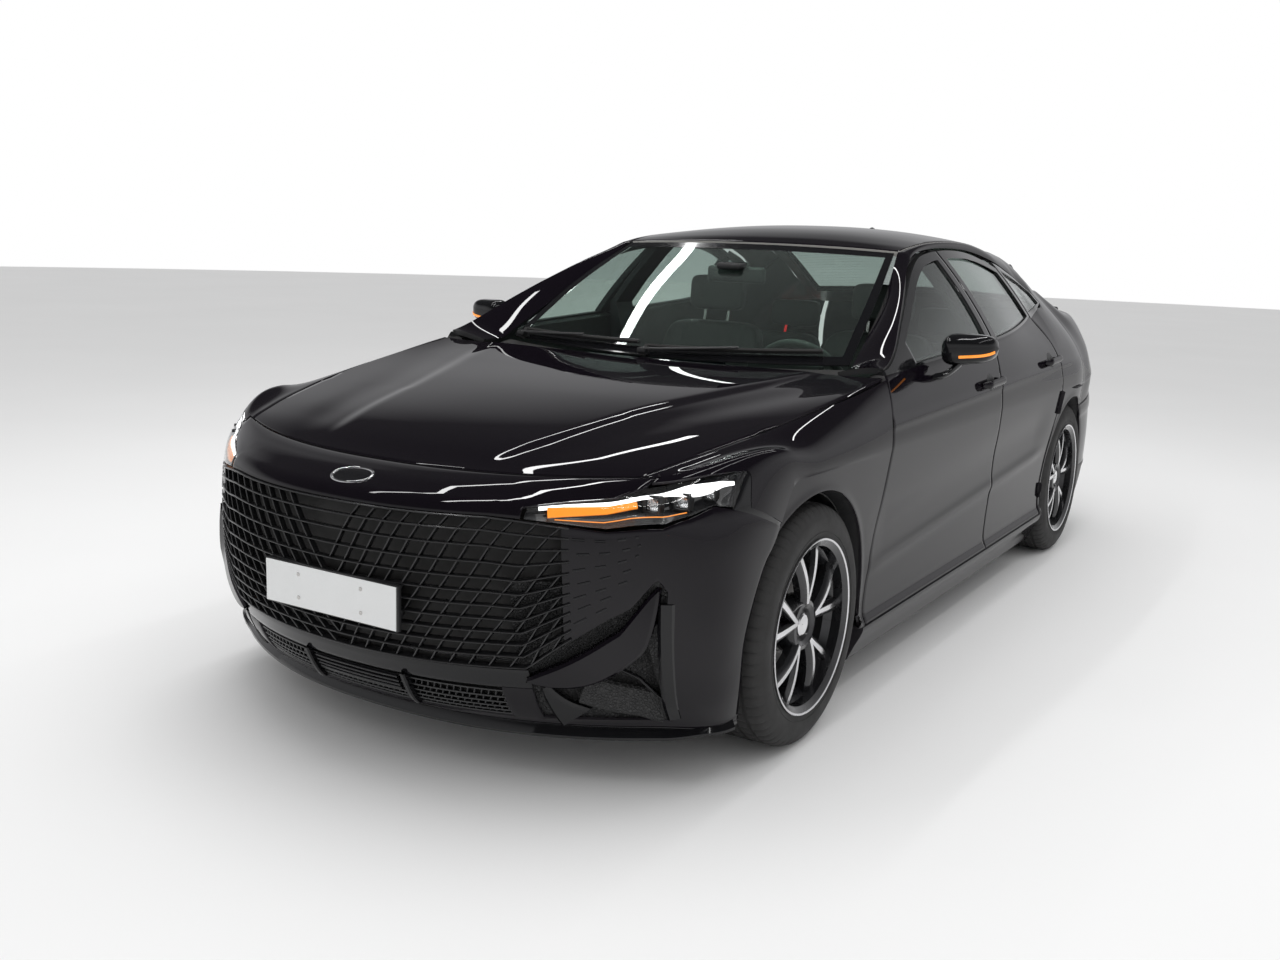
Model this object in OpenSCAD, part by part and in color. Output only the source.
// Fastback family sedan. Millimetres, front towards -Y, the car's left side towards +X,
// origin on the ground under the middle of the car.

/* [Overall] */
// Front axle to the middle of the car's length
front_axle_y = -1450; // [-1500:5:-1400]
// Rear axle to the middle of the car's length
rear_axle_y = 1300; // [1260:5:1340]
// Half-width of the body at its widest line
body_half_w = 919; // [850:1:980]
// Height of the roof's highest point
roof_h = 1412; // [1360:1:1460]

/* [Wheels] */
// Outer radius of a tyre
tyre_r = 334; // [310:1:345]
// Width of a tyre
tyre_w = 235; // [195:5:245]
// Radius of the rim's bead seat
rim_r = 229; // [210:1:250]
// Middle of the tyre from the car's centre line
track_half = 786; // [760:1:800]
// Clearance between a tyre's tread and its wheel arch
arch_clear = 38; // [26:1:51]
// Radius of the wheel bolt circle
bolt_circle_r = 57; // [50:0.5:65]
// Radius of a wheel bolt hole
bolt_hole_r = 6.5; // [5:0.5:8]
// Radius of a wheel's stub axle
stub_r = 22; // [15:0.5:28]

/* [Panels] */
// Gap between neighbouring outer panels
panel_gap = 6; // [5:0.5:9]
// Thickness of the hood and tailgate with their inner frames
lid_t = 24; // [16:1:36]
// Thickness of the fixed outer panels
skin_t = 14; // [8:1:20]
// Thickness of the glass
glass_t = 6; // [4:0.5:8]
// Inner face of the doors from the centre line
door_inner_x = 792; // [770:1:810]
// Thickness of the frames round the door windows
frame_t = 34; // [26:1:40]
// Lower edge of the doors above the ground
door_low_z = 238; // [225:1:260]
// Lower edge of the sills above the ground
sill_low_z = 122; // [110:1:150]

/* [Cabin] */
// Top of the cabin floor above the ground
floor_z = 205; // [190:1:230]
// Thickness of the floor
floor_t = 30; // [15:1:40]
// Height of the front seats' cushions above the ground
seat_h = 500; // [460:5:530]
// Middle of a front seat from the car's centre line
seat_x = 370; // [350:5:390]
// Radius of the steering wheel's rim
hand_wheel_r = 172; // [160:1:185]

/* [Joints] */
// Clearance between a wheel's brake disc and its hub carrier
hub_clear = 12; // [8:1:16]
// Clearance between a stub axle and its bore
bearing_clear = 0.05; // [0.02:0.01:0.1]

// Clearance round a window pane in its frame
pane_clear = 0.5; // [0.3:0.1:1.5]

/* [Hidden] */
paint = [0.07, 0.06, 0.07];
trim = [0.1, 0.1, 0.11];
glass = [0.45, 0.6, 0.55, 0.5];
wide_z = 760;
arch_r = tyre_r + arch_clear;
gap = panel_gap;
half_gap = panel_gap / 2;

// ---- Smooth curves through hand-set points ----

function clamp(v, lo, hi) = min(max(v, lo), hi);
function lerp(a, b, t) = a + (b - a) * t;
function steps(a, b, n) = [for (i = [0:n]) lerp(a, b, i / n)];
function smooth(t) = let (c = clamp(t, 0, 1)) c * c * (3 - 2 * c);

// Index of the stretch of a table of [key, value] rows that holds a key
function stretch(t, k, i = 0) = (i >= len(t) - 2 || k < t[i + 1][0]) ? i : stretch(t, k, i + 1);

// Slope of a table at one of its rows
function slope(t, i) =
    let (a = max(i - 1, 0), b = min(i + 1, len(t) - 1))
    (t[b][1] - t[a][1]) / (t[b][0] - t[a][0]);

// Cubic curve through a table of [key, value] rows; a value is a number or a point
function curve(t, k) =
    let (i = stretch(t, k), a = t[i], b = t[i + 1], h = b[0] - a[0], s = clamp((k - a[0]) / h, 0, 1))
    a[1] * (1 + 2 * s) * (1 - s) * (1 - s) + slope(t, i) * (h * s * (1 - s) * (1 - s))
    + b[1] * s * s * (3 - 2 * s) + slope(t, i + 1) * (h * s * s * (s - 1));

function bezier(a, b, c, d, t) =
    a * pow(1 - t, 3) + b * (3 * t * pow(1 - t, 2)) + c * (3 * t * t * (1 - t)) + d * pow(t, 3);

// ---- Panels: a closed solid between an outer and an inner grid of points ----

// Faces outward where the grid's first direction crossed with its second points out of the car
module panel(outer, inner, keep = function(i, j) true) {
    ni = len(outer);
    nj = len(outer[0]);
    off = ni * nj;
    id = function(i, j) i * nj + j;
    on = function(i, j) i >= 0 && j >= 0 && i < ni - 1 && j < nj - 1 && keep(i, j);
    wall = function(p, q) [[p, q, q + off], [p, q + off, p + off]];
    faces = [for (i = [0:ni - 2], j = [0:nj - 2]) if (on(i, j))
        let (a = id(i, j), b = id(i + 1, j), c = id(i + 1, j + 1), d = id(i, j + 1))
        each concat(
            [[a, d, c], [a, c, b], [a + off, b + off, c + off], [a + off, c + off, d + off]],
            on(i, j - 1) ? [] : wall(a, b),
            on(i + 1, j) ? [] : wall(b, c),
            on(i, j + 1) ? [] : wall(c, d),
            on(i - 1, j) ? [] : wall(d, a))];
    points = concat([for (r = outer) each r], [for (r = inner) each r]);
    polyhedron(points = points, faces = faces, convexity = 10);
}

// The grid moved by a distance against its outward normals
function inward(g, t) =
    let (ni = len(g) - 1, nj = len(g[0]) - 1)
    [for (i = [0:ni]) [for (j = [0:nj])
        let (u = g[min(i + 1, ni)][j] - g[max(i - 1, 0)][j],
            v = g[i][min(j + 1, nj)] - g[i][max(j - 1, 0)],
            n = cross(u, v))
        g[i][j] - n * (t / norm(n))]];

// The grid with its border drawn in by a distance
function toward(p, q, d) = p == q ? [0, 0, 0] : (q - p) * (d / norm(q - p));
function trimmed(g, d) =
    let (ni = len(g) - 1, nj = len(g[0]) - 1)
    [for (i = [0:ni]) [for (j = [0:nj])
        let (p = g[i][j], a = g[clamp(i, 1, ni - 1)][j], b = g[i][clamp(j, 1, nj - 1)])
        p + toward(p, a, d) + toward(p, b, d)]];

// Two grids blended point by point
function between(g, h, t) = [for (i = [0:len(g) - 1]) [for (j = [0:len(g[0]) - 1]) lerp(g[i][j], h[i][j], t)]];

// A tube of round cross-section along a list of points
module tube(path, r, sides = 8) {
    n = len(path) - 1;
    rings = [for (i = [0:n])
        let (d = path[min(i + 1, n)] - path[max(i - 1, 0)],
            t = d / norm(d),
            side = cross(t, abs(t[2]) > 0.9 ? [1, 0, 0] : [0, 0, 1]),
            a = side / norm(side),
            b = cross(t, a))
        [for (k = [0:sides - 1]) path[i] + a * (r * cos(360 * k / sides)) + b * (r * sin(360 * k / sides))]];
    side_faces = [for (i = [0:n - 1], k = [0:sides - 1])
        let (p = i * sides + k, q = i * sides + (k + 1) % sides)
        each [[p, q + sides, q], [p, p + sides, q + sides]]];
    ends = [[for (k = [0:sides - 1]) k], [for (k = [sides - 1:-1:0]) n * sides + k]];
    polyhedron(points = [for (q = rings) each q], faces = concat(side_faces, ends), convexity = 10);
}

// ---- Body side: half-width by station and height ----

// Half-width of the widest line, as a share taken off body_half_w, by station
WIDEST = [[-1740, 38], [-1600, 27], [-1450, 17], [-1200, 13], [-900, 11], [-500, 8], [0, 4], [600, 2],
    [1300, 1], [1450, 8], [1600, 29]];
// Tuck of the lower body inside the widest line, by height
TUCK = [[100, 72], [122, 56], [170, 33], [215, 11], [238, 9], [265, 22], [330, 25], [450, 20], [600, 9],
    [760, 0]];
// Half-width of the foot of the side glass, by station
BELT_X = [[-1000, 840], [-760, 852], [-400, 862], [0, 865], [400, 852], [768, 812], [1000, 776], [1266, 724],
    [1600, 660]];
// Height of the foot of the side glass, by station
BELT_Z = [[-1000, 960], [-760, 972], [-400, 988], [0, 1005], [400, 1024], [768, 1047], [1000, 1072],
    [1266, 1114], [1600, 1150]];
// Top edge of the doors and of the quarter window's frame, by station
TOP_Z = [[-960, 972], [-860, 984], [-760, 1020], [-600, 1098], [-430, 1176], [-250, 1252], [-100, 1300],
    [0, 1318], [150, 1330], [350, 1334], [600, 1326], [800, 1302], [1000, 1258], [1150, 1202], [1290, 1128],
    [1330, 1118]];
// Upper edge of the quarter panel against the tailgate, by station
GATE_X = [[1100, 548], [1300, 572], [1500, 594], [1600, 604], [1800, 622]];
GATE_Z = [[1100, 1326], [1300, 1274], [1500, 1203], [1600, 1162], [1800, 1085]];

function widest(y) = body_half_w - curve(WIDEST, y);
function side_low(y, z) = widest(y) - curve(TUCK, z);
function side_shoulder(y, z) =
    let (zb = curve(BELT_Z, y), u = (z - wide_z) / (zb - wide_z))
    widest(y) - (widest(y) - curve(BELT_X, y)) * u * u;
function side_glass(y, z) =
    let (u = (z - curve(BELT_Z, y)) / 320)
    curve(BELT_X, y) - 265 * (0.75 * u + 0.25 * u * u);
// Rear quarter: one curve in each section from the widest line up to the tailgate's edge
function quarter_point(y, t) =
    let (w = widest(y), gx = curve(GATE_X, y), gz = curve(GATE_Z, y), dx = w - gx, dz = gz - wide_z)
    bezier([w, wide_z], [w, wide_z + 0.43 * dz], [gx + 0.35 * dx, gz - 0.28 * dz], [gx, gz], t);
function side_quarter(y, z) =
    let (t = [for (s = [0:0.1:1]) let (q = quarter_point(y, s)) [q[1], q[0]]])
    curve(t, z);
function side_x(y, z) =
    z < wide_z ? side_low(y, z)
    : let (front = z < curve(BELT_Z, y) ? side_shoulder(y, z) : side_glass(y, z), k = smooth((y - 900) / 366))
        k <= 0 ? front : lerp(front, side_quarter(y, z), k);
function on_side(y, z) = [side_x(y, z), y, z];

// ---- Nose and tail: rows of curves over three rails, centre line, crest and side ----

// Rows run from the lower lip (0) over the hood's front edge (7) to the cowl (13)
NOSE_CENTRE = [[0, -2150, 150], [0, -2215, 190], [0, -2262, 265], [0, -2318, 400], [0, -2338, 550],
    [0, -2335, 710], [0, -2257, 755], [0, -2143, 777], [0, -2000, 815], [0, -1800, 853], [0, -1500, 893],
    [0, -1200, 922], [0, -1000, 938], [0, -870, 948]];
NOSE_CREST = [[690, -1955, 150], [695, -1985, 195], [700, -2030, 270], [700, -2060, 405], [698, -2070, 550],
    [688, -2064, 712], [688, -2020, 760], [692, -1962, 795], [720, -1872, 816], [758, -1728, 842],
    [793, -1466, 884], [818, -1190, 924], [834, -1020, 948], [842, -900, 964]];
NOSE_SIDE = [[845, -1772, 150], [858, -1792, 195], [872, -1813, 270], [880, -1815, 400], [886, -1750, 550],
    [891, -1702, 612], [891, -1650, 690], [892, -1620, 735], [893, -1590, 757], [896, -1540, 760],
    [902, -1430, 760], [907, -1200, 760], [908, -1050, 760], [908, -958, 760]];
// Direction in which each row reaches the side: 0 runs along the car, 90 straight down
NOSE_TURN = [0, 0, 0, 0, 0, 12, 35, 55, 72, 85, 90, 90, 90, 90];
NOSE_ROUND = [0.6, 0.6, 0.6, 0.6, 0.6, 0.6, 0.58, 0.55, 0.55, 0.5, 0.45, 0.35, 0.25, 0.2];
// Rows run from the rear bumper's lower edge (0) over its upper edge (4) and the spoiler's lip (7) to
// the tailgate glass (9)
TAIL_CENTRE = [[0, 2240, 180], [0, 2290, 300], [0, 2322, 450], [0, 2332, 600], [0, 2330, 740],
    [0, 2300, 850], [0, 2262, 950], [0, 2290, 1056], [0, 2130, 1058], [0, 1860, 1103]];
TAIL_CREST = [[690, 2120, 185], [700, 2150, 300], [703, 2165, 450], [702, 2165, 600], [697, 2150, 735],
    [685, 2120, 850], [662, 2085, 945], [640, 2070, 1040], [630, 1960, 1046], [622, 1800, 1085]];
TAIL_SIDE = [[864, 1648, 190], [876, 1674, 300], [884, 1656, 450], [889, 1600, 555], [897, 1504, 650],
    [890, 1600, 760], [857, 1600, 880], [786, 1600, 985], [712, 1600, 1064], [604, 1600, 1162]];
TAIL_TURN = [0, 0, 0, 0, 0, 0, 0, 0, 0, 0];
TAIL_ROUND = [0.6, 0.6, 0.6, 0.6, 0.6, 0.6, 0.6, 0.6, 0.6, 0.6];

function keyed(t) = [for (i = [0:len(t) - 1]) [i, t[i]]];
NOSE = [keyed(NOSE_CENTRE), keyed(NOSE_CREST), keyed(NOSE_SIDE), keyed(NOSE_TURN), keyed(NOSE_ROUND)];
TAIL = [keyed(TAIL_CENTRE), keyed(TAIL_CREST), keyed(TAIL_SIDE), keyed(TAIL_TURN), keyed(TAIL_ROUND)];

// Point on an end of the body: v picks the row, s runs from -2 (right side) over 0 (centre) and
// 1 (crest) to 2 (left side)
function end_point(rails, back, v, s) =
    let (a = abs(s),
        c = curve(rails[0], v),
        k = curve(rails[1], v),
        e = curve(rails[2], v),
        turn = curve(rails[3], v),
        reach = curve(rails[4], v),
        bow = pow(min(a, 1), 2.3),
        flat = [k[0] * min(a, 1), lerp(c[1], k[1], bow), lerp(c[2], k[2], bow)],
        out = [k[0], 2.3 * (k[1] - c[1]), 2.3 * (k[2] - c[2])] * (reach * (e[0] - k[0]) / k[0]),
        home = [0, back * cos(turn), sin(turn)] * (0.5 * norm(e - k)),
        p = a <= 1 ? flat : bezier(k, k + out, e + home, e, a - 1))
    [s < 0 ? -p[0] : p[0], p[1], p[2]];
function nose(v, s) = end_point(NOSE, -1, v, s);
function tail(v, s) = end_point(TAIL, 1, v, s);

// ---- Arches and shut lines ----

function arch_point(axle_y, angle) =
    let (y = axle_y + arch_r * cos(angle), z = tyre_r + arch_r * sin(angle))
    on_side(y, z);
// Shut lines between fender, front door, rear door and quarter panel, by height
FENDER_CUT = [[238, -1050], [300, -1044], [500, -1012], [760, -955], [840, -946], [880, -935],
    [933, -914], [957, -902], [1000, -896]];
MIDDLE_CUT = [[238, 140], [500, 160], [760, 158], [900, 150], [1000, 150], [1340, 205]];
QUARTER_CUT = [[238, 908], [330, 906], [420, 920], [520, 955], [620, 1010], [700, 1052], [780, 1070],
    [880, 1052], [960, 1015], [1060, 925], [1330, 845]];

// ---- Fixed body ----

// Drop of the roof's centre line below its highest point, by station
ROOF_MID = [[-95, 74], [0, 50], [150, 23], [300, 8], [450, 1], [600, 2], [800, 14], [1000, 37], [1150, 62]];
function roof_mid(y) = roof_h - curve(ROOF_MID, y);
RAIL_X = [[-100, 560], [0, 566], [300, 570], [700, 566], [1000, 554], [1160, 548]];
RAIL_Z = [[-100, 1324], [0, 1341], [150, 1357], [400, 1366], [700, 1358], [1000, 1326], [1160, 1298]];
function roof_point(y, a) =
    [curve(RAIL_X, y) * a, y, lerp(roof_mid(y), curve(RAIL_Z, y), pow(abs(a), 2.3))];

module roof() {
    g = [for (a = steps(-1, 1, 12)) [for (y = steps(-92, 1148, 11)) roof_point(y, a)]];
    color(paint) panel(g, inward(g, lid_t));
}

// Windscreen: a runs across, t up
SCREEN_EDGE = [[0, [676, -742, 962]], [0.5, [626, -400, 1154]], [1, [560, -100, 1322]]];
function screen_point(a, t) =
    let (e = curve(SCREEN_EDGE, t), mid = [0, lerp(-852, -100, t), lerp(945, 1336, t)], k = a * a)
    [e[0] * a, lerp(mid[1], e[1], k) - 8 * sin(180 * t), lerp(mid[2], e[2], k) + 14 * sin(180 * t)];

// Quarter window and its frame: columns back from the rear door's shut line, rows up from the belt
QUARTER_AFT = 1262;
QUARTER_COLS = [0, 0.09, 0.35, 0.62, 0.9, 1];
QUARTER_ROWS = [0, 0.1, 0.48, 0.86, 1];
function quarter_line(c, z) = lerp(curve(QUARTER_CUT, z) + gap, QUARTER_AFT, c);
function quarter_window_grid() = [for (c = QUARTER_COLS)
    let (y = quarter_line(c, 1120))
    [for (t = QUARTER_ROWS)
        let (z = lerp(curve(BELT_Z, y) - 2, curve(TOP_Z, y) + gap, t)) on_side(quarter_line(c, z), z)]];
function quarter_opening(i, j) = i >= 1 && i <= 3 && j >= 1 && j <= 2;
module quarter_frame() {
    g = quarter_window_grid();
    panel(g, inward(g, skin_t), function(i, j) !quarter_opening(i, j));
}
module quarter_window() {
    g = quarter_window_grid();
    h = inward(g, skin_t);
    part = function(t) trimmed([for (i = [1:4]) [for (j = [1:3]) lerp(g[i][j], h[i][j], t)]], pane_clear);
    panel(part(0.35), part(0.35 + glass_t / skin_t));
}

module fixed_windows() {
    g = [for (a = steps(-0.985, 0.985, 12)) [for (t = steps(0.02, 0.985, 7)) screen_point(a, t)]];
    color(glass) panel(g, inward(g, glass_t));
    color(glass) quarter_window();
    color(glass) mirror([1, 0, 0]) quarter_window();
}

// Side structure outside the doors: windscreen pillar, roof rail, rear quarter and sill
PILLAR_IN = [[-776, [688, 962]], [-400, [634, 1154]], [-106, [566, 1322]]];
SIDE_STATIONS = [-884, -820, -760, -600, -430, -250, -100, 50, 250, 450, 650, 850, 960, 1050, 1140, 1210, 1270];
function inner_edge(y) =
    y < -100 ? let (q = curve(PILLAR_IN, max(y, -776))) [q[0], y, q[1]]
    : y < 1150 ? [curve(RAIL_X, y) + gap, y, curve(RAIL_Z, y) - 3]
    : [curve(GATE_X, y) + gap, y, curve(GATE_Z, y) - 3];
function top_line(y) = on_side(y, curve(TOP_Z, y) + gap);
function rail_column(y) = let (a = inner_edge(y), b = top_line(y)) [b, lerp(a, b, 0.5) + [5, 0, 7], a];
function rail_inner(y) =
    let (a = inner_edge(y) + [2, 0, -26], b = top_line(y) + [-34, 0, -14]) [b, lerp(a, b, 0.5), a];

module pillar_and_rail() {
    panel([for (y = SIDE_STATIONS) rail_column(y)], [for (y = SIDE_STATIONS) rail_inner(y)]);
}

SILL_FORE = -1068;
SILL_AFT = 920;
SILL_IN = door_inner_x - 47;
module sill() {
    top = door_low_z - gap;
    zs = [for (t = [0, 0.25, 0.48, 0.75, 1]) lerp(sill_low_z, top, t)];
    g = [for (y = steps(SILL_FORE, SILL_AFT, 8)) [for (z = zs) on_side(y, z)]];
    panel(g, [for (c = g) [for (q = c) [SILL_IN, q[1], q[2]]]]);
}

// Quarter panel: its first strip lies between the shut line and the arch, and its other columns fan
// out over the arch and then follow the tail; the strip alone uses the first three rows
FAN_Y = [1082, 1130, 1258, 1310, 1400, 1500, 1600];
FAN_ANGLE = [143, 131, 118, 105, 91, 75, 58.2];
STRIP_ANGLE = [195, 174, 157];
CUT_LOW = [door_low_z - gap, 373, 479, 575, 640, 680, 720, wide_z];
CUT_HIGH = [836, 912, 988, 1062];
TAIL_S = [1.75, 1.5, 1.25, 1.012];

function fan_column(k) =
    let (y = FAN_Y[k], foot = arch_point(rear_axle_y, FAN_ANGLE[k]),
        top = y < 1290 ? curve(BELT_Z, y) : curve(GATE_Z, y) - 3)
    concat(k == 0 ? [for (a = STRIP_ANGLE) arch_point(rear_axle_y, a)]
            : [for (t = [-0.3, -0.2, -0.1]) on_side(lerp(foot[1], y, t), lerp(foot[2], wide_z, t))],
        [for (t = [0, 0.25, 0.5, 0.75, 1]) on_side(lerp(foot[1], y, t), lerp(foot[2], wide_z, t))],
        [for (t = [0.25, 0.5, 0.75, 1]) on_side(y, lerp(wide_z, top, t))]);
function cut_column() = [for (z = concat(CUT_LOW, CUT_HIGH)) on_side(curve(QUARTER_CUT, z) + gap, z)];
function tail_column(s) = [for (v = [3.75, 3.85, 3.95, 4.05, 4.3, 4.55, 4.8, 5, 6, 7, 8, 8.97]) tail(v, s)];

module quarter_panel() {
    g = concat([cut_column()], [for (k = [0:len(FAN_Y) - 1]) fan_column(k)], [for (s = TAIL_S) tail_column(s)]);
    panel(g, inward(g, skin_t), function(i, j) !(i >= 1 && j < 3) && !(i >= 9 && j == 7));
}

module body_side() color(paint) {
    pillar_and_rail();
    sill();
    quarter_frame();
    quarter_panel();
}

// Floor with its tunnel, front and rear rails, strut towers and the boot floor
TUNNEL_HALF = 130;
TUNNEL_TOP = 330;
BOOT_Z = 440;
BOOT_AFT = 2110;
SHELL_HALF = SILL_IN - 10;
BULKHEAD_Y = -985;
BULKHEAD_T = 20;
HEEL_Y = 930;
RAIL_IN = 400;
RAIL_OUT = 465;
RAIL_TOP = 515;
TOWER_Z = 790;
module underbody() color(trim) {
    low = floor_z - floor_t;
    long = HEEL_Y - BULKHEAD_Y;
    rail_end = BULKHEAD_Y - BULKHEAD_T - 2;
    for (m = [0, 1]) mirror([m, 0, 0]) {
        translate([TUNNEL_HALF, BULKHEAD_Y, low]) cube([SHELL_HALF - TUNNEL_HALF, long, floor_t]);
        translate([TUNNEL_HALF - 15, BULKHEAD_Y, low]) cube([15, long, TUNNEL_TOP - low]);
        translate([RAIL_IN, -2110, RAIL_TOP - 95]) cube([RAIL_OUT - RAIL_IN, rail_end + 2110, 95]);
        translate([RAIL_OUT - 15, front_axle_y - 70, RAIL_TOP]) cube([15, 140, TOWER_Z - RAIL_TOP]);
        translate([RAIL_OUT - 15, front_axle_y - 70, TOWER_Z]) cube([150, 140, 12]);
        translate([RAIL_IN, HEEL_Y - 15, 360]) cube([60, BOOT_AFT - HEEL_Y - 30, BOOT_Z - 375]);
        translate([TUNNEL_HALF - 15, HEEL_Y - 15, low]) cube([575 - TUNNEL_HALF, 15, BOOT_Z - low]);
    }
    translate([-TUNNEL_HALF, BULKHEAD_Y, TUNNEL_TOP - 15]) cube([2 * TUNNEL_HALF, long, 15]);
    translate([-TUNNEL_HALF, HEEL_Y - 15, TUNNEL_TOP - 15])
        cube([2 * TUNNEL_HALF, 15, BOOT_Z - TUNNEL_TOP + 15]);
    translate([-560, -2150, RAIL_TOP - 95]) cube([1120, 40, 95]);
    translate([-560, HEEL_Y - 15, BOOT_Z - 15]) cube([1120, BOOT_AFT - HEEL_Y + 15, 15]);
}

// Bulkhead, door hinge posts and centre pillars
HINGE_POST_X = SHELL_HALF - 13;
BULKHEAD_TOP = 900;
module centre_pillar() {
    zs = [floor_z, door_low_z + 12, door_low_z + 50, 500, 800, 960, 1060, 1160, 1260, 1318];
    outer = [for (y = [92, 222]) [for (z = zs)
        [z < door_low_z + 30 ? SILL_IN - 1 : z < 970 ? door_inner_x - 20 : side_x(y, z) - 52, y, z]]];
    panel(outer, [for (c = outer) [for (q = c) [q[0] - (q[2] < 970 ? 50 : 30), q[1], q[2]]]]);
}
module cabin_frame() color(trim) {
    difference() {
        translate([-SHELL_HALF, BULKHEAD_Y - BULKHEAD_T, floor_z - floor_t])
            cube([2 * SHELL_HALF, BULKHEAD_T, BULKHEAD_TOP - floor_z + floor_t]);
        translate([15 - TUNNEL_HALF, BULKHEAD_Y - BULKHEAD_T - 1, floor_z - floor_t - 1])
            cube([2 * TUNNEL_HALF - 30, BULKHEAD_T + 2, TUNNEL_TOP - floor_z]);
    }
    for (m = [0, 1]) mirror([m, 0, 0]) {
        translate([HINGE_POST_X - 42, BULKHEAD_Y, floor_z]) cube([42, 95, BULKHEAD_TOP - floor_z]);
        centre_pillar();
    }
}

// Cowl below the windscreen, with the two wipers lying on the glass
module wiper(a0, a1, t0, t1) {
    p = [for (k = steps(0, 1, 6)) screen_point(lerp(a0, a1, k), lerp(t0, t1, k)) + [0, -8, 20]];
    tube(p, 6, 6);
    tube([screen_point(a0, 0.01) + [0, -8, 2], p[0]], 9, 8);
}
module cowl() color(trim) {
    top = [for (a = steps(-1, 1, 12)) let (b = screen_point(a, 0), f = nose(12.98, a * 0.8))
        [[b[0], f[1] + 5, f[2] - 16], lerp([b[0], f[1] + 5, f[2] - 16], b, 0.5) - [0, 0, 6], b - [0, 2, 6]]];
    panel(top, [for (c = top) [for (q = c) q - [0, 0, 14]]]);
    wiper(-0.05, 0.85, 0.05, 0.07);
    wiper(-0.9, -0.12, 0.05, 0.07);
}

// Shut line between hood and fender, s by v
HOOD_CUT = [[7, 0.96], [8, 0.965], [9.6, 1], [11, 1.16], [12, 1.18], [13, 1.16]];
// An s value moved sideways by a distance, by the length of a small step across the nose there
function beside(v, s, d) = s + 0.01 * d / norm(nose(v, s + 0.01) - nose(v, s));

// Front fender: columns run back from the headlamp to the door, rows down from the hood to the arch
FENDER_TOP_V = [6.66, 6.96, 7.06, 7.8, 8.4, 9, 9.7, 10.4, 11.2, 12, 12.4, 12.75, 13];
FENDER_SIDE_V = [5.6, 5.9, 6.2, 6.8, 7.5, 8.3, 9.1, 10, 11, 12, 12.4, 12.75, 13];
FENDER_FOOT = [127, 124, 121, 113, 106, 99, 91, 79, 52, 18, -3, -15, -15];
FENDER_DOWN = [0, 0.18, 0.36, 0.54, 0.6, 0.64, 0.82, 1];
FENDER_BELOW = [0.17, 0.33, 0.5, 0.67, 0.83, 1];
function fender_column(k) =
    let (last = k == len(FENDER_TOP_V) - 1,
        v2 = FENDER_SIDE_V[k], v1 = FENDER_TOP_V[k],
        top = v1 < 7 ? beside(v1, 1, gap + 1) : beside(v1, curve(HOOD_CUT, v1), half_gap + 2),
        foot = last ? on_side(curve(FENDER_CUT, door_low_z) - half_gap, door_low_z - gap + 2)
            : arch_point(front_axle_y, FENDER_FOOT[k]),
        e = nose(v2, 2))
    concat(
        [for (t = FENDER_DOWN) let (k2 = t < 0.62 ? 0.15 * t : smooth((t - 0.55) / 0.45), v = lerp(v1, v2, k2))
            nose(v, lerp(top, 2, t))],
        [for (t = FENDER_BELOW) let (z = lerp(e[2], foot[2], t))
            on_side(last ? curve(FENDER_CUT, z) - half_gap : lerp(e[1], foot[1], t), z)]);
module fender() {
    g = [for (k = [len(FENDER_TOP_V) - 1:-1:0]) fender_column(k)];
    h = inward(g, skin_t);
    drop = function(i) FENDER_TOP_V[len(g) - 1 - i] < 7 ? h[i][0] : g[i][0] + [1, i == 0 ? -8 : 0, -skin_t];
    color(paint) panel(g, [for (i = [0:len(g) - 1]) concat([drop(i)], [for (j = [1:len(g[0]) - 1]) h[i][j]])]);
}

// Front bumper: rows follow the splitter, the intakes, the grille and the headlamps
BUMPER_S = [0, 0.2, 0.4, 0.6, 0.7, 0.82, 0.94, 1, 1.08, 1.15, 1.22, 1.32, 1.46, 1.6, 1.8, 2];
BLADE_V = [[0, 2.45], [0.7, 2.5], [0.82, 3], [0.94, 3.45], [1.15, 4.1], [1.22, 3.9], [1.32, 3.3],
    [1.6, 2.9], [2, 2.8]];
LAMP_LOW_V = [[0, 5], [0.6, 5], [0.7, 4.95], [0.94, 4.75], [1.18, 4.83], [1.32, 5.1], [1.46, 5.5],
    [1.6, 5.5], [2, 5.5]];
LAMP_TOP_V = [[0, 5.6], [0.6, 5.55], [0.7, 5.3], [0.82, 5.65], [0.94, 5.9], [1.0, 6.4], [1.15, 6.55],
    [1.46, 6.58], [1.6, 6.6], [2, 6.6]];
function at(t, s) = lookup(abs(s), t);
function both(t) = concat([for (i = [len(t) - 1:-1:1]) -t[i]], t);
function bumper_rows(s) =
    let (blade = at(BLADE_V, s), lamp = at(LAMP_LOW_V, s), top = at(LAMP_TOP_V, s))
    [0, 0.45, 0.9, lerp(0.9, blade, 0.75), blade, lerp(blade, lamp, 0.33), lerp(blade, lamp, 0.66), lamp,
        top, 6.96];
module front_bumper() {
    ss = both(BUMPER_S);
    g = [for (s = ss) [for (v = bumper_rows(s)) nose(v, s)]];
    keep = function(i, j)
        let (m = abs(ss[i] + ss[i + 1]) / 2)
        !(j == 2 && m < 0.6) && !((j == 2 || j == 3) && m > 0.7 && m < 1.22)
        && !(j >= 4 && j <= 6 && m < 0.82) && !(j == 7 && m > 0.7) && !(j == 8 && m > 1);
    color(paint) panel(g, inward(g, skin_t), keep);
}

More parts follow.
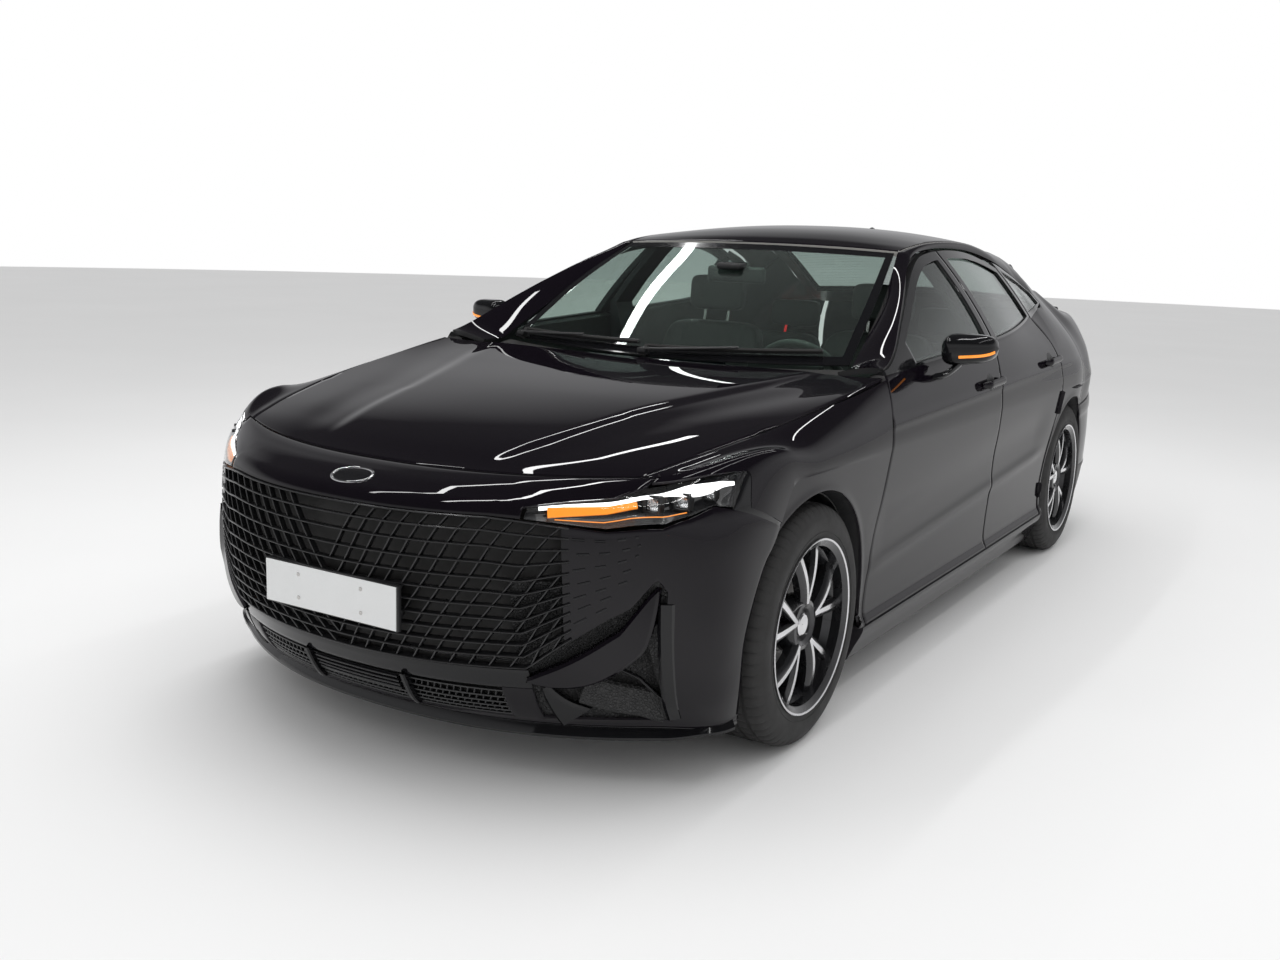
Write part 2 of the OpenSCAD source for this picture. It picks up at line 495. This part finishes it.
// Number plate bracket on the panel given as child: four holes through both, facing the way given
PLATE_W = 440;
PLATE_H = 112;
PLATE_T = 8;
PLATE_HOLES = [210, 60];
PLATE_HOLE_R = 3.5;
PLATE_FRONT = [-2330, 470];
PLATE_REAR = [2330, 610];
module bracketed(at, way) difference() {
    union() {
        children();
        translate([-PLATE_W / 2, way > 0 ? at[0] : at[0] - PLATE_T, at[1] - PLATE_H / 2])
            cube([PLATE_W, PLATE_T, PLATE_H]);
    }
    for (x = [-0.5, 0.5], z = [-0.5, 0.5])
        translate([x * PLATE_HOLES[0], at[0] - 40, at[1] + z * PLATE_HOLES[1]]) rotate([-90, 0, 0])
            cylinder(h = 80, r = PLATE_HOLE_R, $fn = 32);
}

// Grille: one curved plate behind the bumper's opening
module grille() {
    ss = steps(-0.81, 0.81, 12);
    g = [for (s = ss) [for (t = steps(0.02, 0.98, 6)) nose(lerp(at(BLADE_V, s), at(LAMP_LOW_V, s), t), s)]];
    color(trim) bracketed(PLATE_FRONT, -1) panel(inward(g, 3), inward(g, 11));
}

LAMP_DEEP = 30;
function lamp_grid(s0, s1, ts) = [for (s = steps(s0, s1, 10)) [for (t = ts)
    nose(lerp(at(LAMP_LOW_V, s), at(LAMP_TOP_V, s), t), s)]];
module headlamp() {
    panel(lamp_grid(0.715, 1.59, [0.08, 0.35, 0.65, 0.9]),
        inward(lamp_grid(0.77, 1.56, [0.3, 0.43, 0.57, 0.7]), LAMP_DEEP));
}
module headlamps() color("white") {
    headlamp();
    mirror([1, 0, 0]) headlamp();
}

// Rear bumper, with an opening for each pair of exhaust tips
REAR_S = [0, 0.25, 0.5, 0.62, 0.75, 0.88, 1, 1.15, 1.3, 1.5, 1.75, 2];
TIP_S = [0.62, 0.88];
module rear_bumper() {
    ss = both(REAR_S);
    g = [for (s = ss) [for (v = [0, 0.25, 1, 1.6, 2.2, 3, 3.5, 3.95]) tail(v, -s)]];
    keep = function(i, j) let (m = abs(ss[i] + ss[i + 1]) / 2) !(j == 1 && m > TIP_S[0] && m < TIP_S[1]);
    color(paint) bracketed(PLATE_REAR, 1) panel(g, inward(g, skin_t), keep);
}

// Corner tail lamps in the openings of the quarter panels
module tail_lamp() {
    g = [for (s = steps(1.48, 1.04, 4)) [for (v = [5.05, 5.35, 5.65, 5.95]) tail(v, s)]];
    panel(g, inward(g, 30));
}
module tail_lamps() color([0.5, 0.05, 0.05]) {
    tail_lamp();
    mirror([1, 0, 0]) tail_lamp();
}

// Wheel arch liners; the front ones widen inwards for the steered wheels
LINER_T = 4;
LINER_R = arch_r - 12;
LINER_OUT = track_half + 64;
LINER_MID = track_half - 26;
LINER_IN = track_half - 146;
module liner(axle_y, x0, x1, wide) translate([0, axle_y, tyre_r]) rotate([90, 0, 90])
    rotate_extrude(angle = 200, start = -10, $fn = 64)
        polygon([[LINER_R, LINER_OUT], [LINER_R + wide, x1], [LINER_R + wide, x0],
            [LINER_R + wide + LINER_T, x0], [LINER_R + wide + LINER_T, x1], [LINER_R + LINER_T, LINER_OUT]]);
module wheel_liners() color(trim) for (m = [0, 1]) mirror([m, 0, 0]) {
    liner(front_axle_y, LINER_IN, LINER_MID, 36);
    liner(rear_axle_y, LINER_IN, LINER_MID, 0);
}

// ---- Running gear ----

// Engine with its gearbox, as one block at its real place
module engine() color(trim) {
    translate([-330, -1760, 300]) cube([620, 440, 440]);
}

// Steering axis of the left front wheel: through the lower ball joint and the strut's top
KNUCKLE_X1 = track_half - 51;
KNUCKLE_X0 = KNUCKLE_X1 - 55;
BALL_JOINT = [KNUCKLE_X1 - 10, 200];
STRUT_TOP = [KNUCKLE_X1 - 195, 800];
DISC_R = 150;
DISC_T = 14;
DISC_X0 = KNUCKLE_X1 + hub_clear;
DISC_X1 = DISC_X0 + DISC_T;
PAD_GAP = 7;
PAD_T = 16;
function strut_x(z) = lerp(BALL_JOINT[0], STRUT_TOP[0], (z - BALL_JOINT[1]) / (STRUT_TOP[1] - BALL_JOINT[1]));
function strut_at(z) = [strut_x(z), front_axle_y, z];
module along(a, b, r) {
    d = b - a;
    translate(a) rotate([0, acos(d[2] / norm(d)), atan2(d[1], d[0])]) cylinder(h = norm(d), r = r, $fn = 32);
}
module across(x0, x1, y, z, r) translate([x0, y, z]) rotate([0, 90, 0]) cylinder(h = x1 - x0, r = r, $fn = 64);

// Brake caliper round a disc's edge, on the side of the axle given by its sign
module caliper(axle_y, way) translate([0, axle_y, tyre_r]) mirror([0, way > 0 ? 0 : 1, 0]) {
    translate([DISC_X0 - PAD_GAP - PAD_T, 93, -60]) cube([PAD_T, 70, 120]);
    translate([DISC_X1 + PAD_GAP, 93, -60]) cube([PAD_T, 70, 120]);
    translate([DISC_X0 - PAD_GAP - PAD_T, DISC_R + PAD_GAP, -60])
        cube([DISC_T + 2 * (PAD_GAP + PAD_T), 16, 120]);
    translate([KNUCKLE_X0 + 10, 40, -25]) cube([DISC_X0 - PAD_GAP - KNUCKLE_X0 - 18, 120, 50]);
}

module knuckle() color(trim) {
    difference() {
        union() {
            across(KNUCKLE_X0, KNUCKLE_X1, front_axle_y, tyre_r, 62);
            hull() {
                translate([KNUCKLE_X0 - 30, front_axle_y - 25, tyre_r + 30]) cube([40, 50, 10]);
                translate(strut_at(500) - [22, 22, 0]) cube([44, 44, 20]);
            }
        }
        across(KNUCKLE_X0 - 60, KNUCKLE_X1 + 1, front_axle_y, tyre_r, stub_r + bearing_clear);
    }
    along(strut_at(510), strut_at(TOWER_Z - 22), 20);
    caliper(front_axle_y, 1);
}

// Subframe, lower arms and steering rack
module front_subframe() color(trim) {
    translate([-420, -1560, 175]) cube([840, 300, 45]);
    for (m = [0, 1]) mirror([m, 0, 0]) {
        translate([340, -1270, 175]) cube([80, 255, 45]);
        along([410, front_axle_y + 120, 195], [KNUCKLE_X0 - 40, front_axle_y + 10, 188], 18);
        along([410, front_axle_y - 70, 195], [KNUCKLE_X0 - 40, front_axle_y - 5, 188], 18);
        translate([KNUCKLE_X0 - 55, front_axle_y - 30, 170]) cube([60, 60, 30]);
        along([250, -1300, 262], [470, -1312, 262], 11);
    }
    translate([-255, -1325, 220]) cube([510, 60, 70]);
}

// Twist beam with trailing arms, hub carriers, springs and calipers
ARM_Z = 262;
ARM_H = 66;
ARM_X = KNUCKLE_X0 - 130;
ARM_FORE = HEEL_Y + 8;
module rear_axle() color(trim) {
    translate([-ARM_X - 10, 1040, ARM_Z]) cube([2 * ARM_X + 20, 90, ARM_H]);
    for (m = [0, 1]) mirror([m, 0, 0]) {
        translate([ARM_X, ARM_FORE, ARM_Z]) cube([55, rear_axle_y + 50 - ARM_FORE, ARM_H]);
        difference() {
            union() {
                translate([ARM_X + 50, rear_axle_y - 50, tyre_r - 55])
                    cube([KNUCKLE_X0 - ARM_X - 49, 100, 110]);
                across(KNUCKLE_X0, KNUCKLE_X1, rear_axle_y, tyre_r, 55);
            }
            across(KNUCKLE_X0 - 20, KNUCKLE_X1 + 1, rear_axle_y, tyre_r, stub_r + bearing_clear);
        }
        caliper(rear_axle_y, -1);
        translate([ARM_X - 50, 1190, ARM_Z]) cube([60, 60, ARM_H]);
        translate([ARM_X - 35, 1220, ARM_Z + ARM_H - 1])
            cylinder(h = BOOT_Z - 15 - ARM_Z - ARM_H, r = 40, $fn = 48);
    }
}

// Exhaust: pipe in the tunnel, silencer across the tail and four round tips
TIP_X = [482, 565];
TIP_Z = 256;
TIP_R = 40;
TIP_AFT = 2236;
module exhaust() color("gray") {
    translate([0, -1230, 212]) rotate([-90, 0, 0]) cylinder(h = 2990, r = 26, $fn = 32);
    translate([-600, 1755, 185]) cube([1200, 240, 130]);
    for (x = [-TIP_X[1], -TIP_X[0], TIP_X[0], TIP_X[1]]) translate([x, 1990, TIP_Z]) rotate([-90, 0, 0])
        difference() {
            cylinder(h = TIP_AFT - 1990, r = TIP_R, $fn = 48);
            translate([0, 0, 60]) cylinder(h = TIP_AFT, r = TIP_R - 4, $fn = 48);
        }
}

// Wheel: tyre and rim about the X axis, the outer side towards +X
module at_wheel(axle_y) translate([track_half, axle_y, tyre_r]) rotate([90, 0, 90]) children();
SEAT_GAP = 0.5;
module tyre() color([0.05, 0.05, 0.05]) rotate_extrude($fn = 96) {
    w = tyre_w / 2;
    b = rim_r + SEAT_GAP;
    polygon([[b, 15 - w], [b + 14, 6 - w], [b + 34, -w], [tyre_r - 28, 7 - w], [tyre_r - 8, 20 - w],
        [tyre_r, 42 - w], [tyre_r, w - 42], [tyre_r - 8, w - 20], [tyre_r - 28, w - 7], [b + 34, w],
        [b + 14, w - 6], [b, w - 15]]);
}
SPOKES = 5;
FACE_X = 96;
BARREL_T = 10;
module rim_barrel() rotate_extrude($fn = 96) {
    w = tyre_w / 2;
    polygon([[rim_r - 8, 8 - w], [rim_r + 14, -w], [rim_r + 14, 5 - w], [rim_r, 14 - w], [rim_r, 40 - w],
        [rim_r - 18, 60 - w], [rim_r - 18, w - 60], [rim_r, w - 36], [rim_r, w - 14], [rim_r + 14, w - 5],
        [rim_r + 14, w], [rim_r - BARREL_T, w - 8], [rim_r - BARREL_T, w - 40], [rim_r - 18 - BARREL_T, w - 66],
        [rim_r - 18 - BARREL_T, 66 - w], [rim_r - BARREL_T, 40 - w]]);
}
module spoke_pair() for (side = [-1, 1])
    rotate(side * 9) translate([58, side * 4 - 9, FACE_X - 30]) cube([rim_r - 62, 18, 24]);
module rim() color([0.2, 0.2, 0.22]) difference() {
    union() {
        rim_barrel();
        for (k = [0:SPOKES - 1]) rotate(k * 360 / SPOKES + 90) spoke_pair();
        translate([0, 0, FACE_X - 40]) cylinder(h = 34, r = 80, $fn = 64);
        translate([0, 0, DISC_X0 - track_half]) cylinder(h = DISC_T, r = DISC_R, $fn = 96);
        translate([0, 0, DISC_X0 - track_half])
            cylinder(h = FACE_X - 30 - DISC_X0 + track_half, r = 74, $fn = 64);
        translate([0, 0, KNUCKLE_X0 + 4 - track_half]) cylinder(h = 80, r = stub_r, $fn = 48);
    }
    for (k = [0:SPOKES - 1]) rotate(k * 360 / SPOKES + 54) translate([bolt_circle_r, 0, FACE_X - 36])
        cylinder(h = 40, r = bolt_hole_r, $fn = 32);
}

// ---- Lids ----

HOOD_S = steps(-1, 1, 14);
HOOD_V = [7.04, 7.4, 7.8, 8.4, 9, 9.7, 10.4, 11.2, 12, 12.4, 12.75, 12.86];
module hood() {
    g = [for (a = HOOD_S) [for (v = HOOD_V) nose(v, a * beside(v, curve(HOOD_CUT, v), -half_gap))]];
    h = [for (a = HOOD_S * 0.97) [for (v = HOOD_V)
        nose(clamp(v, 7.3, 12.8), a * curve(HOOD_CUT, v)) - [0, 0, lid_t]]];
    color(paint) panel(g, h);
}

// Tailgate with the rear window's opening; the rows run from the roof down to the rear bumper
GATE_MID = [[1100, 1362], [1160, 1349], [1300, 1312], [1500, 1243], [1700, 1165], [1860, 1103]];
GATE_COLS = [-0.974, -0.9, -0.7, -0.45, -0.2, 0, 0.2, 0.45, 0.7, 0.9, 0.974];
GATE_ROWS = [1160, 1212, 1330, 1450, 1570, 1690, 1800];
function gate_point(y, a) =
    let (k = pow(abs(a), 2.3), yy = y - 60 * k * (y - 1160) / 700)
    [curve(GATE_X, yy) * a, yy, lerp(curve(GATE_MID, y), curve(GATE_Z, yy), k)];
function gate_column(a) = concat([for (y = GATE_ROWS) gate_point(y, a)],
    [for (v = [9, 8.5, 8, 7.5, 7, 6.5, 6, 5.5, 5, 4.5, 4.08]) tail(v, a)]);
function gate_opening(i, j) = i >= 1 && i <= 8 && j >= 1 && j <= 5;
GATE_GRID = [for (a = GATE_COLS) gate_column(a)];
GATE_INNER = inward(GATE_GRID, lid_t);
module tailgate() color(paint) panel(GATE_GRID, GATE_INNER, function(i, j) !gate_opening(i, j));
module rear_window() {
    part = function(t) trimmed([for (i = [1:9]) [for (j = [1:6]) lerp(GATE_GRID[i][j], GATE_INNER[i][j], t)]],
        pane_clear);
    color(glass) panel(part(0.2), part(0.2 + glass_t / lid_t));
}

// ---- Doors ----

// Rows of a door: sill to belt, then the window's foot and head and the frame's top
DOOR_T = [0, 0.06, 0.2, 0.3, 0.4, 0.5, 0.6, 0.68, 0.76, 0.86, 1];
WINDOW_ROW = len(DOOR_T);
TOP_ROW = WINDOW_ROW + 3;
function door_rows(y) =
    let (zb = curve(BELT_Z, y), zt = curve(TOP_Z, y) - 2, z1 = zb + 8, z2 = max(z1 + 3, zt + 6 - frame_t),
        z3 = max(zt, z2 + 3))
    concat([for (t = DOOR_T) lerp(door_low_z, zb, t)], [z1, (z1 + z2) / 2, z2, z3]);
function door_point(fore, aft, c, z) =
    on_side(lerp(curve(fore, z) + half_gap + 2.5, curve(aft, z) - half_gap - 2.5, c), z);
function door_grid(fore, aft, cols) = [for (c = cols)
    let (y = lerp(curve(fore, 1000), curve(aft, 1000), c))
    [for (z = door_rows(y)) door_point(fore, aft, c, z)]];
// Inner face: set in from the outer edges so that the door clears its frame as it swings
function door_inner(g) = let (n = len(g) - 1) [for (i = [0:n]) [for (j = [0:TOP_ROW])
    let (q = g[i][j], dy = i == 0 ? 20 : i == n ? -24 : 0)
    j < WINDOW_ROW ? [min(door_inner_x, q[0] - 42), q[1] + dy, q[2] + (j == 0 ? 12 : 0)]
        : [q[0] - (j == TOP_ROW ? 30 : frame_t), q[1] + dy, q[2] - (j == TOP_ROW ? 14 : 6)]]];

FRONT_COLS = [0, 0.08, 0.16, 0.24, 0.3, 0.42, 0.54, 0.66, 0.78, 0.88, 0.94, 1];
REAR_COLS = [0, 0.075, 0.2, 0.35, 0.5, 0.65, 0.8, 0.94, 1];
module door(fore, aft, cols, first, last) {
    g = door_grid(fore, aft, cols);
    window = function(i, j) i >= first && i < last && (j == WINDOW_ROW || j == WINDOW_ROW + 1);
    color(paint) panel(g, door_inner(g), function(i, j) !window(i, j));
}
module door_window(fore, aft, cols, first, last) {
    g = door_grid(fore, aft, cols);
    h = door_inner(g);
    outer = [for (i = [first:last]) [for (j = [WINDOW_ROW:TOP_ROW - 1]) lerp(g[i][j], h[i][j], 0.25)]];
    inner = [for (i = [first:last]) [for (j = [WINDOW_ROW:TOP_ROW - 1]) lerp(g[i][j], h[i][j], 0.45)]];
    color(glass) panel(trimmed(outer, pane_clear), trimmed(inner, pane_clear));
}
module door_front() door(FENDER_CUT, MIDDLE_CUT, FRONT_COLS, 4, 10);
module door_rear() door(MIDDLE_CUT, QUARTER_CUT, REAR_COLS, 1, 7);
module window_front() door_window(FENDER_CUT, MIDDLE_CUT, FRONT_COLS, 4, 10);
module window_rear() door_window(MIDDLE_CUT, QUARTER_CUT, REAR_COLS, 1, 7);

// Door mirror: rounded housing on a short arm from the door
MIRROR_Y = -500;
module mirror_arm() hull() {
    translate([side_x(MIRROR_Y + 30, 925) + 0.5, MIRROR_Y - 60, 925]) cube([4, 90, 22]);
    translate([945, MIRROR_Y - 20, 990]) cube([30, 40, 12]);
}
module mirror_shell() color(trim) {
    hull() {
        translate([925, MIRROR_Y + 5, 1020]) sphere(r = 40, $fn = 20);
        translate([1005, MIRROR_Y + 12, 1030]) sphere(r = 30, $fn = 20);
        translate([950, MIRROR_Y - 35, 1018]) sphere(r = 34, $fn = 20);
        translate([935, MIRROR_Y + 40, 1022]) sphere(r = 36, $fn = 20);
    }
    mirror_arm();
}

// ---- Cabin ----

module extrude_x(x0, x1) translate([x0, 0, 0]) rotate([90, 0, 90]) linear_extrude(x1 - x0) children();
// Front seat: cushion, back rest and head rest, drawn from the side in Y and Z
module front_seat() {
    extrude_x(-250, 250) polygon([[-330, seat_h - 130], [-350, seat_h - 30], [-320, seat_h], [-60, seat_h - 15],
        [60, seat_h - 35], [60, seat_h - 140]]);
    extrude_x(-235, 235) polygon([[66, seat_h - 110], [64, seat_h - 20], [222, seat_h + 470],
        [258, seat_h + 520], [310, seat_h + 515], [322, seat_h + 470], [190, seat_h - 60], [150, seat_h - 110]]);
    extrude_x(-130, 130) polygon([[268, seat_h + 535], [256, seat_h + 600], [280, seat_h + 690],
        [320, seat_h + 700], [350, seat_h + 640], [330, seat_h + 535]]);
    extrude_x(-200, 200) polygon([[-300, floor_z], [-300, seat_h - 135], [40, seat_h - 145], [60, floor_z]]);
}
module front_seats() color(trim) for (x = [-seat_x, seat_x]) translate([x, 0, 0]) front_seat();

REAR_SEAT_HALF = LINER_IN;
module rear_seat() color(trim) {
    over = TUNNEL_TOP + 5;
    extrude_x(-REAR_SEAT_HALF, REAR_SEAT_HALF)
        polygon([[510, over], [500, 450], [530, 500], [760, 485], [905, 465], [905, over]]);
    for (m = [0, 1]) mirror([m, 0, 0])
        extrude_x(TUNNEL_HALF + 5, REAR_SEAT_HALF)
            polygon([[520, floor_z + 5], [510, over + 1], [905, over + 1], [905, floor_z + 5]]);
    extrude_x(-REAR_SEAT_HALF, REAR_SEAT_HALF)
        polygon([[911, BOOT_Z + 5], [911, 480], [1040, 900], [1075, 930], [1120, 925], [1120, BOOT_Z + 5]]);
    for (x = [-370, 370]) extrude_x(x - 125, x + 125)
        polygon([[1062, 936], [1056, 1000], [1080, 1070], [1120, 1075], [1145, 1010], [1126, 936]]);
}

DASH_HALF = HINGE_POST_X - 47;
module dashboard() color(trim) {
    extrude_x(-DASH_HALF, DASH_HALF) polygon([[-945, 640], [-945, 880], [-840, 915], [-700, 930],
        [-600, 922], [-560, 890], [-580, 760], [-650, 640]]);
    extrude_x(-110, 110) polygon([[-700, TUNNEL_TOP + 2], [-640, 640], [-560, 660], [-330, 560], [10, 545],
        [40, 500], [40, TUNNEL_TOP + 2]]);
    along([seat_x, -600, 760], COLUMN_END, 28);
}
// Steering wheel, square to its column
COLUMN_TILT = 24;
HAND_WHEEL = [seat_x, -440, 846];
function column(d) = HAND_WHEEL + d * [0, -cos(COLUMN_TILT), -sin(COLUMN_TILT)];
COLUMN_END = column(48);
module steering_wheel() color(trim)
    translate(HAND_WHEEL) rotate([COLUMN_TILT - 90, 0, 0]) {
        rotate_extrude($fn = 64) translate([hand_wheel_r, 0, 0]) circle(r = 15, $fn = 24);
        translate([0, 0, -40]) cylinder(h = 45, r = 55, $fn = 48);
        for (a = [0, 180]) rotate(a) translate([50, -18, -12]) cube([hand_wheel_r - 55, 36, 16]);
        translate([-18, 50, -12]) cube([36, hand_wheel_r - 55, 16]);
    }

// ---- Drawing ----

underbody();
cabin_frame();
body_side();  // body_side_left
mirror([1, 0, 0]) body_side();  // body_side_right
roof();
fixed_windows();
cowl();
fender();  // front_fender_left
mirror([1, 0, 0]) fender();  // front_fender_right
front_bumper();
grille();
headlamps();
rear_bumper();
tail_lamps();
wheel_liners();
engine();
front_subframe();
rear_axle();
exhaust();
dashboard();
front_seats();
rear_seat();
hood();
tailgate();
rear_window();
door_front();  // door_front_left
mirror([1, 0, 0]) door_front();  // door_front_right
door_rear();  // door_rear_left
mirror([1, 0, 0]) door_rear();  // door_rear_right
window_front();  // window_front_left
mirror([1, 0, 0]) window_front();  // window_front_right
window_rear();  // window_rear_left
mirror([1, 0, 0]) window_rear();  // window_rear_right
mirror_shell();  // mirror_left
mirror([1, 0, 0]) mirror_shell();  // mirror_right
steering_wheel();
knuckle();  // knuckle_left
mirror([1, 0, 0]) knuckle();  // knuckle_right
at_wheel(front_axle_y) tyre();  // tyre_front_left
mirror([1, 0, 0]) at_wheel(front_axle_y) tyre();  // tyre_front_right
at_wheel(rear_axle_y) tyre();  // tyre_rear_left
mirror([1, 0, 0]) at_wheel(rear_axle_y) tyre();  // tyre_rear_right
at_wheel(front_axle_y) rim();  // rim_front_left
mirror([1, 0, 0]) at_wheel(front_axle_y) rim();  // rim_front_right
at_wheel(rear_axle_y) rim();  // rim_rear_left
mirror([1, 0, 0]) at_wheel(rear_axle_y) rim();  // rim_rear_right
